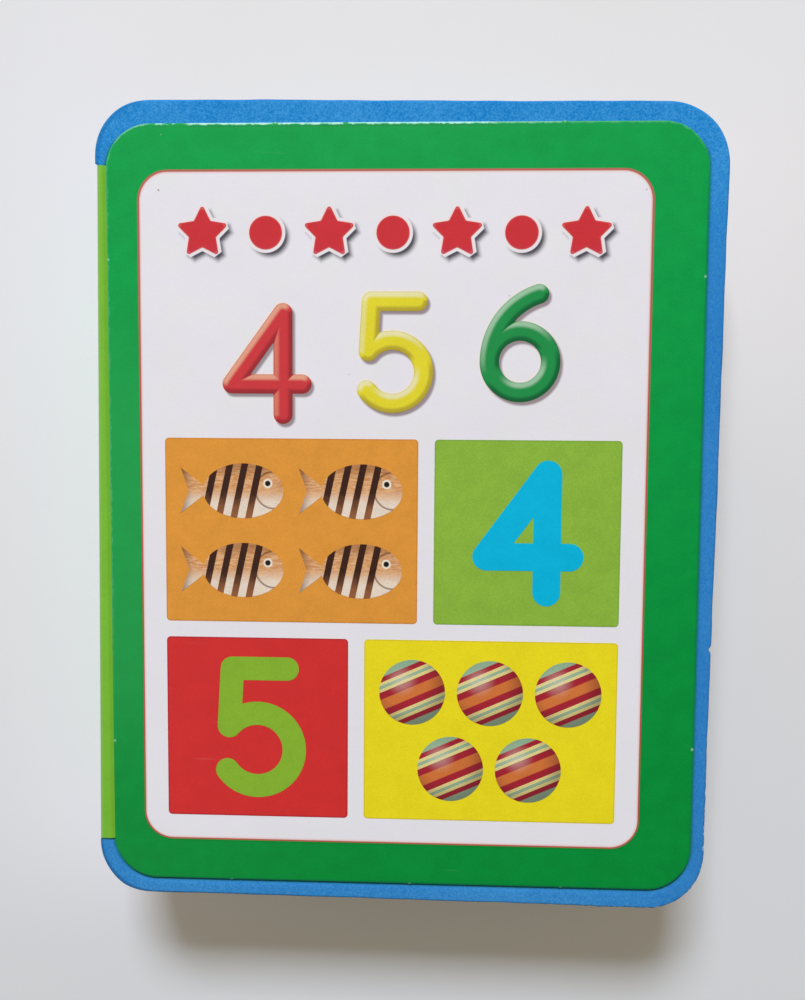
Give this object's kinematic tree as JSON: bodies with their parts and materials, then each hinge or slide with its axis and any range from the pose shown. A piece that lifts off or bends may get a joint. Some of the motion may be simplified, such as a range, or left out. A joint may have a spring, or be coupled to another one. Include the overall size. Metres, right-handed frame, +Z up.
{
  "type": "foam board book",
  "caption": "Child's counting book: soft foam leaves with rounded corners, blue ones for the covers and white ones inside, with printed card panels glued on, and covers that turn at a folded lime spine strip.",
  "frame": {"origin": "centre of the closed book's underside, where it lies on its back cover", "axes": "+X from the spine to the fore edge, +Y to the head, +Z up through the pages to the front cover"},
  "size_m": [0.14, 0.182, 0.0344],
  "materials": {
    "blue_foam": "soft matt foam with a fine stipple",
    "white_foam": "soft matt foam with a fine stipple",
    "green_card": "printed card with a gloss laminate",
    "white_card": "printed card with a gloss laminate",
    "lime_card": "thin printed card with a gloss laminate",
    "white_print": "gloss print",
    "red_print": "gloss print",
    "yellow_print": "gloss print",
    "green_print": "gloss print",
    "orange_print": "gloss print",
    "lime_print": "gloss print",
    "cyan_print": "gloss print",
    "tawny_print": "gloss print",
    "dark_print": "gloss print",
    "crimson_print": "gloss print",
    "cream_print": "gloss print"
  },
  "bodies": {
    "pages": {"page_block": "white_foam", "spine_strip": "lime_card"},
    "front_cover": {"front_cover_foam": "blue_foam", "front_cover_panel": "green_card", "front_inside_panel": "white_card", "front_spine_strip": "lime_card", "print_white_field": "white_print", "print_red_keyline": "red_print", "print_red_marks": "red_print", "print_red_numeral": "red_print", "print_yellow_numeral": "yellow_print", "print_green_numeral": "green_print", "print_orange_tile": "orange_print", "print_lime_tile": "lime_print", "print_red_tile": "red_print", "print_yellow_tile": "yellow_print", "print_blue_numeral": "cyan_print", "print_lime_numeral": "lime_print", "print_fish": "tawny_print", "print_fish_stripes": "dark_print", "print_balls": "crimson_print", "print_ball_bands": "cream_print"},
    "back_cover": {"back_cover_foam": "blue_foam", "back_cover_panel": "green_card", "back_inside_panel": "white_card", "back_spine_strip": "lime_card"}
  },
  "joints": [
    {"name": "front_cover_fold", "type": "hinge", "parent": "pages", "child": "front_cover", "pos_m": [-0.07015, 0, 0.0285], "axis": [0, -1, 0], "range_deg": [0, 180]},
    {"name": "back_cover_fold", "type": "hinge", "parent": "pages", "child": "back_cover", "pos_m": [-0.07015, 0, 0.0057], "axis": [0, 1, 0], "range_deg": [0, 180]}
  ]
}
